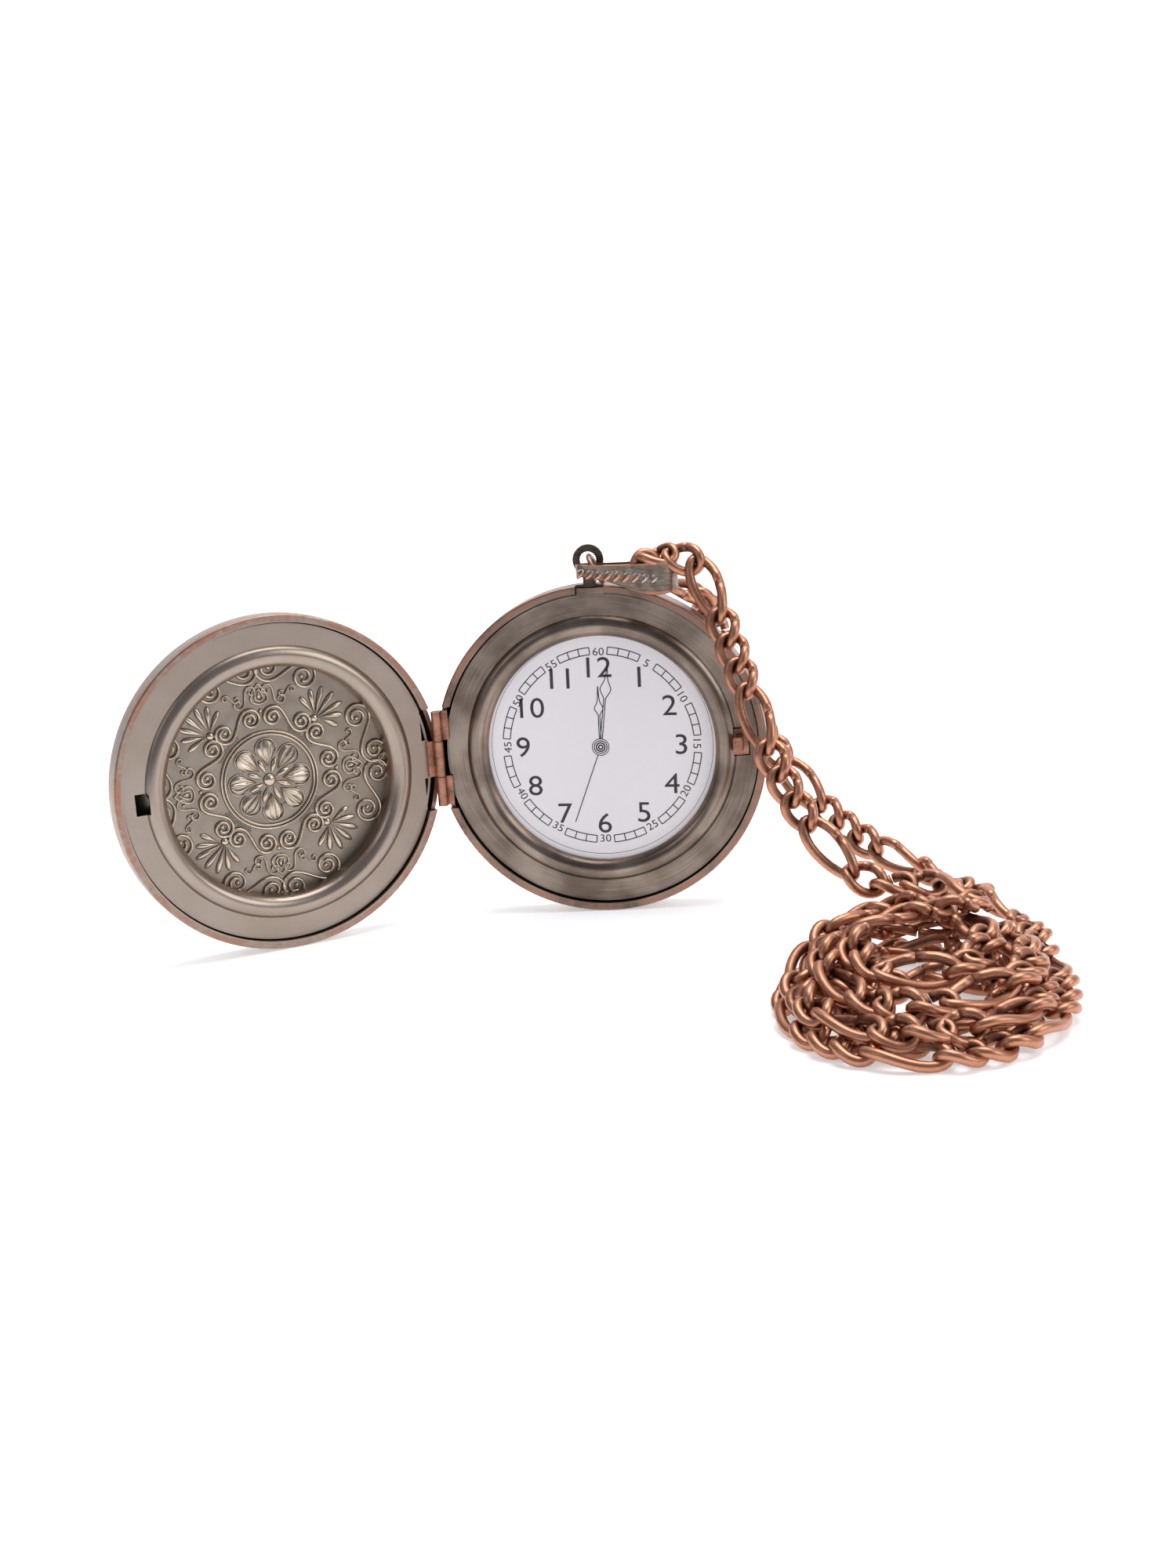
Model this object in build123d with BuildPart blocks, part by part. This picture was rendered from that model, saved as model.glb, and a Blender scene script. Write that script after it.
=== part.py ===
from build123d import *
from math import cos, pi, radians, sin, tan
import os

# Costume pocket watch on a neck chain, standing open like a book on the rims of its two halves.
# Frame: +X to the right along the dial, +Y from the dial into the case, +Z up, floor at z = 0.
# The origin is the middle of the footprint of the two open halves. Millimetres.

# --- driving dimensions -------------------------------------------------------------------
rim_radius = 24.0
case_depth = 6.0
lid_depth = 5.2
shell_wall = 0.6
corner_radius = 1.8
edge_radius = 0.25
lip_width = 1.1
lip_height = 0.6
mouth_gap = 0.05

flange_radius = 22.7
flange_depth = 0.9
sheet = 0.35
bead_outer = 19.6
bead_top_radius = 18.1
bead_top_depth = 0.12
bead_inner = 16.75
aperture_radius = 16.6
skirt_depth = 3.5
crimp_radius = 20.8

dial_depth = 1.55
dial_radius = 18.6
dial_thickness = 0.12

open_turn = 31.5
hinge_offset = 23.7
knuckle_radius = 0.72
knuckle_bore = 0.43
pin_radius = 0.40
side_knuckle = 4.3
middle_knuckle = 5.2
knuckle_gap = 0.1
leaf_top = 0.42
leaf_width = 1.5
leaf_inset = 0.1
hinge_notch_height = 15.1
hinge_notch_depth = 1.3

latch_radius = 20.05
latch_travel = 0.3
hook_width = 1.1
hook_height = 2.4
hook_top = 1.9
foot_depth = 1.35
foot_thickness = 0.6

eye_height = 27.5
eye_outer = 2.2
eye_inner = 1.2
eye_thickness = 0.6
eye_stem = 1.8
pendant_notch = 4.1
notch_tab_top = 23.5

ring_radius = 2.03
ring_wire = 0.35
ring_tilt = 26.1

bail_tip_radius = 1.44
bail_end_radius = 2.3
bail_length = 10.9
bail_sheet = 0.5
rope_lobes = 10
rope_radius = 0.36

plate_depth = 3.9
relief = 0.5
petals = 8
rosette_radius = 7.25
scroll_radius = 1.3

chain_radius = 1.5
pile_radius_x = 18.8
pile_radius_y = 24.0
pile_height = 8.5
pile_lean = 7.0

# --- places worked out from the driving dimensions ----------------------------------------
turn = radians(open_turn)
reach = hinge_offset + rim_radius
left_reach = (reach - corner_radius) * cos(turn) + (lid_depth - corner_radius) * sin(turn) + corner_radius
front_reach = (reach - edge_radius) * sin(turn) - (mouth_gap + edge_radius) * cos(turn) + edge_radius
case_x = (hinge_offset + left_reach - rim_radius) / 2
case_y = (front_reach - case_depth) / 2
hinge_x = case_x - hinge_offset
lid_x = hinge_x - hinge_offset * cos(turn)
lid_y = case_y - hinge_offset * sin(turn)

case_face = Plane(origin=(case_x, case_y, rim_radius), x_dir=(1, 0, 0), z_dir=(0, -1, 0))
lid_face = Plane(origin=(lid_x, lid_y, rim_radius), x_dir=(cos(turn), sin(turn), 0),
                 z_dir=(sin(turn), -cos(turn), 0))
case_axis = Axis(case_face.origin, case_face.z_dir)
lid_axis = Axis(lid_face.origin, lid_face.z_dir)


def section_plane(face):
    """The plane for a profile in (radius, height above the mouth) round a half's axis."""
    return Plane(origin=face.origin, x_dir=face.x_dir, z_dir=(0, 0, -1))


def shell_section(face, depth):
    """Profile of a pressed cup with a rolled lip round its mouth."""
    inner = rim_radius - shell_wall
    lip_inner = rim_radius - lip_width
    lip_bottom = -(mouth_gap + lip_height)
    floor = -(depth - shell_wall)
    inner_corner = corner_radius - shell_wall
    with BuildSketch(section_plane(face)) as section:
        with BuildLine():
            Line((0, -depth), (rim_radius - corner_radius, -depth))
            RadiusArc((rim_radius - corner_radius, -depth), (rim_radius, corner_radius - depth),
                      -corner_radius)
            Line((rim_radius, corner_radius - depth), (rim_radius, -mouth_gap - edge_radius))
            RadiusArc((rim_radius, -mouth_gap - edge_radius), (rim_radius - edge_radius, -mouth_gap),
                      -edge_radius)
            Polyline((rim_radius - edge_radius, -mouth_gap), (lip_inner, -mouth_gap),
                     (lip_inner, lip_bottom), (inner, lip_bottom), (inner, floor + inner_corner))
            RadiusArc((inner, floor + inner_corner), (inner - inner_corner, floor), inner_corner)
            Polyline((inner - inner_corner, floor), (0, floor), (0, -depth))
        make_face()
    return section.sketch


def liner_section(face, neck_depth):
    """Profile of a pressed ring: flange, raised bead, neck, and a crimped skirt behind."""
    back = flange_depth + sheet
    skirt = flange_radius - sheet
    with BuildSketch(section_plane(face)) as section:
        with BuildLine():
            Line((flange_radius, -flange_depth), (bead_outer, -flange_depth))
            ThreePointArc((bead_outer, -flange_depth), (bead_top_radius, -bead_top_depth),
                          (bead_inner, -flange_depth))
            Polyline((bead_inner, -flange_depth), (aperture_radius, -flange_depth - 0.3),
                     (aperture_radius, -neck_depth), (aperture_radius + sheet, -neck_depth),
                     (aperture_radius + sheet, -back))
            ThreePointArc((aperture_radius + sheet, -back), (bead_top_radius, -bead_top_depth - sheet),
                          (bead_outer, -back))
            Polyline((bead_outer, -back), (skirt, -back), (skirt, sheet - skirt_depth),
                     (crimp_radius, sheet - skirt_depth), (crimp_radius, -skirt_depth),
                     (flange_radius, -skirt_depth), (flange_radius, -flange_depth))
        make_face()
    return section.sketch


def hinge_notch(face, side):
    """The room for the knuckles, to cut out of a shell's mouth on its hinge side."""
    with BuildPart() as notch:
        with BuildSketch(face):
            with Locations((side * (hinge_offset - 0.35), 0)):
                Rectangle(4.3, hinge_notch_height)
        extrude(amount=-hinge_notch_depth)
    return notch.part


def knuckle(face, side, low, length):
    """One rolled hinge tube with the leaf that lies on its half's flange."""
    middle = low + length / 2
    with BuildPart() as tube:
        with BuildSketch(Plane.XY.offset(rim_radius + low)):
            with Locations((hinge_x, case_y)):
                Circle(knuckle_radius)
        extrude(amount=length)
        with BuildSketch(face.offset(-leaf_top)):
            with Locations((side * (hinge_offset - leaf_inset - leaf_width / 2), middle)):
                Rectangle(leaf_width, length)
        extrude(amount=leaf_top - flange_depth)
        with BuildSketch(Plane.XY.offset(rim_radius + low)):
            with Locations((hinge_x, case_y)):
                Circle(knuckle_bore)
        extrude(amount=length, mode=Mode.SUBTRACT)
    return tube.part


# --- case: the half with the dial -----------------------------------------------------------
with BuildPart() as back_shell:
    revolve(shell_section(case_face, case_depth), axis=case_axis)
    add(hinge_notch(case_face, -1), mode=Mode.SUBTRACT)
    with BuildSketch(case_face):
        with Locations((0, rim_radius)):
            Rectangle(pendant_notch, 2 * lip_width + 0.6)
    extrude(amount=-2.0, mode=Mode.SUBTRACT)

with BuildPart() as body_liner:
    revolve(liner_section(case_face, dial_depth), axis=case_axis)
    # tab of the flange that fills the shell's notch, in front of the eye's stem
    with BuildSketch(case_face.offset(-flange_depth)):
        with Locations((0, (notch_tab_top + flange_radius) / 2 - 0.4)):
            Rectangle(pendant_notch - 0.2, notch_tab_top - flange_radius + 0.8)
    extrude(amount=-sheet)
    # slot that the latch hook stands in
    with BuildSketch(case_face.offset(-0.5)):
        with Locations((latch_radius + 0.3, 0.15)):
            Rectangle(2.3, 4.2)
    extrude(amount=-1.2, mode=Mode.SUBTRACT)
    # notch in the skirt for the stem of the pendant eye
    with BuildSketch(case_face.offset(-flange_depth - sheet)):
        with Locations((0, flange_radius)):
            Rectangle(eye_stem + 0.2, 1.2)
    extrude(amount=-eye_thickness - 0.1, mode=Mode.SUBTRACT)
    # clearance for the lid's knuckle
    with BuildSketch(case_face):
        with Locations((-flange_radius, 0)):
            Rectangle(0.9, middle_knuckle + 0.2)
    extrude(amount=-hinge_notch_depth, mode=Mode.SUBTRACT)

with BuildPart() as dial:
    with BuildSketch(case_face.offset(-dial_depth)):
        Circle(dial_radius)
    extrude(amount=-dial_thickness)

with BuildPart() as dial_backing:
    with BuildSketch(case_face.offset(-dial_depth - dial_thickness)):
        Circle(dial_radius)
    extrude(amount=dial_depth + dial_thickness - case_depth + shell_wall)

# --- hinge ------------------------------------------------------------------------------------
knuckle_pitch = middle_knuckle / 2 + knuckle_gap
pin_length = middle_knuckle + 2 * (side_knuckle + knuckle_gap)
case_knuckle_upper = knuckle(case_face, -1, knuckle_pitch, side_knuckle)
case_knuckle_lower = knuckle(case_face, -1, -knuckle_pitch - side_knuckle, side_knuckle)
lid_knuckle = knuckle(lid_face, 1, -middle_knuckle / 2, middle_knuckle)

with BuildPart() as hinge_pin:
    with BuildSketch(Plane.XY.offset(rim_radius - pin_length / 2)):
        with Locations((hinge_x, case_y)):
            Circle(pin_radius)
    extrude(amount=pin_length)

# --- latch: a barbed hook on a leaf, in a guide under the flange -------------------------------
foot_inner = latch_radius - 0.85
foot_outer = latch_radius + 1.25
foot_middle = (foot_inner + foot_outer) / 2
foot_height = 3.8
barb_reach = 0.25

with BuildPart() as latch_catch:
    with BuildSketch(case_face.offset(hook_top)):
        with Locations((latch_radius, 0)):
            RectangleRounded(hook_width, hook_height, 0.25)
    extrude(amount=-hook_top - foot_depth)
    with BuildSketch(case_face.offset(hook_top)):
        with Locations((latch_radius - barb_reach / 2, 0)):
            RectangleRounded(hook_width + barb_reach, hook_height, 0.25)
    extrude(amount=-0.5)
    with BuildSketch(case_face.offset(-foot_depth)):
        with Locations((foot_middle, 0)):
            Rectangle(foot_outer - foot_inner, foot_height)
        with Locations((foot_outer - 0.2, -foot_height / 2 - 2)):
            Rectangle(0.3, 4.2)
    extrude(amount=-foot_thickness)

with BuildPart() as latch_guide:
    guide_top = foot_depth + foot_thickness + 0.1
    with BuildSketch(case_face.offset(-guide_top)):
        with Locations((foot_middle + 0.15, 0)):
            Rectangle(2.9, foot_height + 1.0)
    extrude(amount=-sheet)
    with BuildSketch(case_face.offset(-flange_depth - sheet)):
        with Locations((foot_inner + 0.7, foot_height / 2 + 0.3), (foot_inner + 0.7, -foot_height / 2 - 0.3)):
            Rectangle(1.2, 0.4)
    extrude(amount=flange_depth + sheet - guide_top)

# --- pendant eye, jump ring and bail -------------------------------------------------------------
eye_depth = flange_depth + sheet
with BuildPart() as pendant_eye:
    with BuildSketch(case_face.offset(-eye_depth)):
        with Locations((0, eye_height)):
            Circle(eye_outer)
        with Locations((0, (eye_height - eye_outer + 20.4) / 2)):
            Rectangle(eye_stem, eye_height - eye_outer + 0.6 - 20.4)
        with Locations((0, eye_height)):
            Circle(eye_inner, mode=Mode.SUBTRACT)
    extrude(amount=-eye_thickness)

ring_center = case_face.from_local_coords((1.09, 26.25, -0.88))
with BuildPart() as jump_ring:
    with Locations(Plane(origin=ring_center, z_dir=(cos(radians(ring_tilt)), 0, sin(radians(ring_tilt))))):
        Torus(ring_radius, ring_wire)

bail_left = case_x - 0.2
bail_tip_y = case_y - 0.33
bail_end_y = case_y - 2.8
bail_level = rim_radius + 26.2
bail_top = 51.2

with BuildPart() as bail:
    with BuildSketch(Plane.XY.offset(bail_level)):
        with Locations((bail_left, bail_tip_y)):
            Circle(bail_tip_radius)
        with Locations((bail_left + bail_length, bail_end_y)):
            Circle(bail_end_radius)
        make_hull()
        offset(amount=-bail_sheet, mode=Mode.SUBTRACT)
    extrude(amount=5, both=True)
    # the strip's outline from the front: narrow at the ring, widest where the chain runs through
    with BuildSketch(Plane.XZ.offset(-case_y - 5)):
        with BuildLine():
            Line((bail_left - 1.6, 49.3), (bail_left - 1.6, bail_top))
            ThreePointArc((bail_left - 1.6, bail_top), (bail_left + 6, bail_top - 0.15),
                          (bail_left + 13.6, bail_top + 0.3))
            Line((bail_left + 13.6, bail_top + 0.3), (bail_left + 13.6, 47.5))
            Spline((bail_left + 13.6, 47.5), (bail_left + 10.2, 46.7), (bail_left + 5.2, 48.0),
                   (bail_left - 1.6, 49.3))
        make_face()
    extrude(amount=12, mode=Mode.INTERSECT)

front_lean = (bail_tip_y - bail_tip_radius - bail_end_y + bail_end_radius) / bail_length
with BuildPart() as bail_rope:
    for step in range(rope_lobes):
        along = -0.3 + step * 1.27
        lobe_y = bail_tip_y - bail_tip_radius - front_lean * along
        lobe_z = 50.1 - 0.09 * along
        lobe_length = 0.8 + 0.07 * step
        with Locations(Location((bail_left + along, lobe_y, lobe_z), (0, 50, 0))):
            Cylinder(radius=rope_radius, height=lobe_length)
            with Locations((0, 0, lobe_length / 2), (0, 0, -lobe_length / 2)):
                Sphere(rope_radius)
    rope_end = (rope_lobes - 1) * 1.27 - 0.3
    rope_span = rope_end + 0.3
    core = Vector(rope_span, -front_lean * rope_span, -0.09 * rope_span)
    start = Vector(bail_left - 0.3, bail_tip_y - bail_tip_radius + 0.3 * front_lean, 50.1 + 0.027)
    with BuildSketch(Plane(origin=start, z_dir=core)):
        Circle(0.22)
    extrude(amount=core.length)

# --- lid: the half with the ornamental plate ------------------------------------------------------
with BuildPart() as lid_shell:
    revolve(shell_section(lid_face, lid_depth), axis=lid_axis)
    add(hinge_notch(lid_face, 1), mode=Mode.SUBTRACT)

with BuildPart() as lid_liner:
    revolve(liner_section(lid_face, plate_depth), axis=lid_axis)
    # hole that the hook snaps through
    with BuildSketch(lid_face):
        with Locations((-latch_radius, 0)):
            Rectangle(1.9, 3.05)
    extrude(amount=-skirt_depth + sheet, mode=Mode.SUBTRACT)
    # two edge slots for the knuckles of the case
    with BuildSketch(lid_face):
        with Locations((flange_radius, 5.2), (flange_radius, -5.2)):
            Rectangle(2.4, 4.8)
    extrude(amount=-hinge_notch_depth, mode=Mode.SUBTRACT)

with BuildPart() as filigree_plate:
    with BuildSketch(lid_face.offset(-plate_depth)):
        Circle(21.0)
    extrude(amount=plate_depth + shell_wall - lid_depth)
    with BuildSketch(lid_face.offset(-plate_depth)):
        Circle(rosette_radius)
        Circle(rosette_radius - 0.8, mode=Mode.SUBTRACT)
        Circle(1.0)
        with PolarLocations(4.1, petals):
            Ellipse(1.65, 1.15)
        for ring in (9.3, 15.1):
            with PolarLocations(ring, 2 * petals, start_angle=180 / (2 * petals)):
                Circle(scroll_radius)
                Circle(scroll_radius - 0.6, mode=Mode.SUBTRACT)
        with PolarLocations(12.2, 4):
            Ellipse(1.2, 0.9)
        with PolarLocations(12.9, 4, start_angle=45):
            Ellipse(1.9, 1.2)
    extrude(amount=relief)

# --- neck chain: two hanging strands and the heap they run into ------------------------------------
front_route = [(16.4, -4.0, 51.2), (18.4, -7.5, 45.0), (20.5, -11.0, 39.2), (22.3, -14.4, 34.0),
               (24.0, -17.3, 28.8), (26.2, -19.8, 23.4), (29.1, -22.2, 18.0), (32.7, -24.3, 13.0),
               (36.9, -26.6, 9.6), (41.5, -29.0, 8.2), (45.5, -33.5, 7.0)]
back_route = [(14.6, 0.6, 46.4), (16.0, 5.4, 44.9), (16.4, 10.0, 41.0), (17.2, 10.3, 35.0),
              (19.6, 10.3, 29.6), (22.6, 10.2, 24.2), (26.2, 8.2, 18.8), (30.4, 4.2, 13.9),
              (35.6, -0.8, 10.0), (41.4, -6.4, 7.6), (47.2, -11.8, 6.3), (52.2, -17.4, 5.3),
              (56.0, -23.6, 4.2), (58.2, -31.0, 3.2), (58.6, -38.0, 2.8)]
pile_x = case_x + 43.5
pile_y = case_y - 50.0


def bend_radii(points):
    """Radius of each corner: 0.45 of the shorter run over the tangent of half the turn."""
    radii = []
    for before, corner, after in zip(points, points[1:], points[2:]):
        arriving = corner - before
        leaving = after - corner
        half_turn = radians(arriving.get_angle(leaving)) / 2
        radii.append(0.45 * min(arriving.length, leaving.length) / tan(half_turn))
    return radii


def strand(route):
    """A chain strand as a plain tube: straight runs joined by tangent arcs."""
    points = [Vector(case_x + x, case_y + y, z) for x, y, z in route]
    radii = bend_radii(points)
    with BuildPart() as tube:
        with BuildLine() as path:
            FilletPolyline(*points, radius=radii)
        with BuildSketch(Plane(origin=path.wire() @ 0, z_dir=path.wire() % 0)):
            Circle(chain_radius)
        sweep()
    length = path.wire().length
    print("bend radii", [round(radius, 1) for radius in radii], "length", round(length, 1),
          "volume", round(tube.part.volume, 1), "section x length", round(length * pi * chain_radius ** 2, 1))
    return tube.part


chain_front = strand(front_route)
chain_back = strand(back_route)

with BuildPart() as chain_pile:
    for height, spread in ((0, 0.97), (1.6, 1.0), (4.4, 0.9), (pile_height, 0.55)):
        with BuildSketch(Plane.XY.offset(height)):
            with Locations((pile_x, pile_y + pile_lean * (height / pile_height) ** 2)):
                Ellipse(pile_radius_x * spread, pile_radius_y * spread)
    loft(ruled=True)

# --- export -------------------------------------------------------------------------------------
pieces = {
    "back_shell": back_shell.part,
    "body_liner": body_liner.part,
    "dial": dial.part,
    "dial_backing": dial_backing.part,
    "case_knuckle_upper": case_knuckle_upper,
    "case_knuckle_lower": case_knuckle_lower,
    "hinge_pin": hinge_pin.part,
    "latch_guide": latch_guide.part,
    "latch_catch": latch_catch.part,
    "pendant_eye": pendant_eye.part,
    "jump_ring": jump_ring.part,
    "bail": bail.part,
    "bail_rope": bail_rope.part,
    "lid_shell": lid_shell.part,
    "lid_liner": lid_liner.part,
    "lid_knuckle": lid_knuckle,
    "filigree_plate": filigree_plate.part,
    "chain_front": chain_front,
    "chain_back": chain_back,
    "chain_pile": chain_pile.part,
}
os.makedirs("parts", exist_ok=True)
for name, piece in pieces.items():
    piece.label = name
    export_step(piece, f"parts/{name}.step")
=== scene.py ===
"""Costume pocket watch standing open on a pale floor, with its neck chain in a heap beside it.

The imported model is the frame. The case halves, hinge, latch, eye, ring and bail keep its meshes
and get their finishes here. The chain, the dial's print, the embossed plate and the rope on the
bail are made here as surfaces. Lengths in the functions are in millimetres and go to metres when
a mesh is made.
"""

import bpy
import numpy as np
from mathutils import Matrix, Vector


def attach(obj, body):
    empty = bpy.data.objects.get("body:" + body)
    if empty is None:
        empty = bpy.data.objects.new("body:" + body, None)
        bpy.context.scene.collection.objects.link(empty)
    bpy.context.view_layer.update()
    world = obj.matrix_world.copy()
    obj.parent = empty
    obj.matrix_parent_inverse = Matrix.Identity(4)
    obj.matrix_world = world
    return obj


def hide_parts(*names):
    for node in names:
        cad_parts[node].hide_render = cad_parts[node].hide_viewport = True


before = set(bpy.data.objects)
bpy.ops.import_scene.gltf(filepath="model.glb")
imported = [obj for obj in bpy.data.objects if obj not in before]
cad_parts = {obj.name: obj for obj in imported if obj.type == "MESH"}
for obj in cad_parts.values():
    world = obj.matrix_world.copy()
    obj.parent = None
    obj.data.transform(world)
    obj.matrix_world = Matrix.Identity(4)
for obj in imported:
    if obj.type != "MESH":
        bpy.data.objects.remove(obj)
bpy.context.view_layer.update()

bl_info = {
    "name": "Pocket watch on a neck chain",
    "version": (1, 0, 0),
    "blender": (4, 5, 0),
    "location": "View3D > Sidebar > Watch",
    "description": "Finishes and details for an open costume pocket watch",
    "category": "Object",
}

MM = 0.001
TAU = 2 * np.pi

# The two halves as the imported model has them: the middle of each mouth plane, and how far the
# lid is turned about the upright from the case's plane, in degrees.
CASE_MIDDLE = np.array((21.206339, 9.393382, 24.0))
LID_MIDDLE = np.array((-22.701233, -2.989834, 24.0))
CASE_TURN = 0.0
LID_TURN = 31.5
DIAL_DEPTH = 1.55
PLATE_DEPTH = 3.9


# --- surfaces ---------------------------------------------------------------------------------
def unit(vectors):
    """Each vector over its length."""
    return vectors / np.maximum(np.linalg.norm(vectors, axis=-1, keepdims=True), 1e-12)


def face_axes(turn):
    """Right, up and outward axes of a half's mouth plane, turned about the upright."""
    a = np.radians(turn)
    return np.array(((np.cos(a), np.sin(a), 0), (0, 0, 1), (np.sin(a), -np.cos(a), 0)))


def place(points, middle, turn):
    """Points in a half's own plane (right, up, outward) taken to the shared frame."""
    return middle + np.asarray(points) @ face_axes(turn)


def quads(rows, columns, wrap_rows, wrap_columns):
    """Faces of a grid of points: each joins a point to the next in its row and its column."""
    i = np.arange(rows if wrap_rows else rows - 1)[:, None]
    j = np.arange(columns if wrap_columns else columns - 1)[None, :]
    right, below = (j + 1) % columns, (i + 1) % rows
    corners = (i * columns + j, i * columns + right, below * columns + right, below * columns + j)
    return np.stack(np.broadcast_arrays(*corners), -1).reshape(-1, 4)


def volume(points, faces):
    """Six times the signed volume under the faces, as fans of triangles from their first corners."""
    total = 0.0
    for k in range(1, faces.shape[1] - 1):
        a, b, c = points[faces[:, 0]], points[faces[:, k]], points[faces[:, k + 1]]
        total += np.einsum("ij,ij->", a, np.cross(b, c))
    return total


def outward(points, groups):
    """The same closed surface with its faces turned so that its volume is positive."""
    centred = points - points.mean(0)
    if sum(volume(centred, faces) for faces in groups) < 0:
        groups = [faces[:, ::-1] for faces in groups]
    return points, groups


def tube(rings, closed):
    """A closed surface over rings of points: a loop of rings, or a run with a cap at each end."""
    rows, columns = rings.shape[:2]
    points = rings.reshape(-1, 3)
    groups = [quads(rows, columns, closed, True)]
    if not closed:
        first = np.arange(columns)[None, :]
        groups += [first[:, ::-1], first + (rows - 1) * columns]
    return outward(points, groups)


def sweep(path, upward, profile, closed, scale=1.0):
    """A profile carried along a path. Each of its points stands off the path by its first number
    across the run and its second along the upward direction, both times scale."""
    steps = np.roll(path, -1, 0) - np.roll(path, 1, 0) if closed else np.gradient(path, axis=0)
    along = unit(steps)
    upward = unit(upward - (upward * along).sum(-1, keepdims=True) * along)
    across = np.cross(along, upward)
    size = np.broadcast_to(np.asarray(scale, float), (len(path),))[:, None, None]
    offsets = profile[None, :, :1] * across[:, None] + profile[None, :, 1:] * upward[:, None]
    return tube(path[:, None] + size * offsets, closed)


def dome(half_long, half_wide, height, rows=7, columns=14):
    """Half an ellipsoid on a short straight foot, closed below: rings shrink by the cosine and
    rise by the sine of the height angle, and the pole is one small ring."""
    rise = np.linspace(0, 0.97 * np.pi / 2, rows)
    spread = np.concatenate(([1.0], np.cos(rise)))
    level = np.concatenate(([-0.35], np.sin(rise))) * height
    around = np.linspace(0, TAU, columns, endpoint=False)
    ring = np.stack((half_long * np.cos(around), half_wide * np.sin(around)), -1)
    flat = spread[:, None, None] * ring
    up = np.broadcast_to(level[:, None, None], (rows + 1, columns, 1))
    return tube(np.concatenate((flat, up), -1), False)


def moved(part, matrix, shift):
    """A surface whose points are turned by a matrix of row axes, then shifted."""
    points, groups = part
    return outward(points @ np.asarray(matrix) + np.asarray(shift), groups)


def gather(parts):
    """Several surfaces as one: their points end to end and their faces' numbers moved on."""
    points, groups, start = [], [], 0
    for part_points, part_groups in parts:
        points.append(part_points)
        groups += [faces + start for faces in part_groups]
        start += len(part_points)
    return np.concatenate(points), groups


def make_piece(name, part, body, finish, smooth=True):
    """A mesh object at the origin from points in millimetres, riding on a body."""
    points, groups = part
    mesh = bpy.data.meshes.new(name)
    mesh.vertices.add(len(points))
    mesh.vertices.foreach_set("co", np.ascontiguousarray(points * MM, dtype=np.float32).ravel())
    corners = np.concatenate([faces.ravel() for faces in groups]).astype(np.int32)
    sizes = np.concatenate([np.full(len(faces), faces.shape[1]) for faces in groups])
    starts = np.concatenate(([0], np.cumsum(sizes)[:-1])).astype(np.int32)
    mesh.loops.add(len(corners))
    mesh.loops.foreach_set("vertex_index", corners)
    mesh.polygons.add(len(sizes))
    mesh.polygons.foreach_set("loop_start", starts)
    mesh.update(calc_edges=True)
    mesh.validate()
    mesh.polygons.foreach_set("use_smooth", np.full(len(mesh.polygons), smooth))
    mesh.materials.append(finish)
    piece = bpy.data.objects.new(name, mesh)
    bpy.context.scene.collection.objects.link(piece)
    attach(piece, body)
    return piece


# --- finishes ---------------------------------------------------------------------------------
class Socket:
    """A node's output that takes part in expressions; each operator adds a Math node."""

    def __init__(self, finish, output):
        self.finish = finish
        self.output = output

    def math(self, operation, *values):
        """The result of one Math node over these values."""
        return self.finish.node("ShaderNodeMath", {"operation": operation}, dict(enumerate(values)))

    def __add__(self, other):
        return self.math("ADD", self, other)

    __radd__ = __add__

    def __mul__(self, other):
        return self.math("MULTIPLY", self, other)

    __rmul__ = __mul__

    def __sub__(self, other):
        return self.math("SUBTRACT", self, other)

    def __rsub__(self, other):
        return self.math("SUBTRACT", other, self)

    def __pow__(self, other):
        return self.math("POWER", self, other)

    def smooth(self, low, high):
        """0 below low, 1 above high, and eased between them; falls if low is the higher."""
        settings = {"interpolation_type": "SMOOTHSTEP"}
        if low < high:
            return self.finish.node("ShaderNodeMapRange", settings, {0: self, 1: low, 2: high})
        return 1 - self.finish.node("ShaderNodeMapRange", settings, {0: self, 1: high, 2: low})


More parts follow.
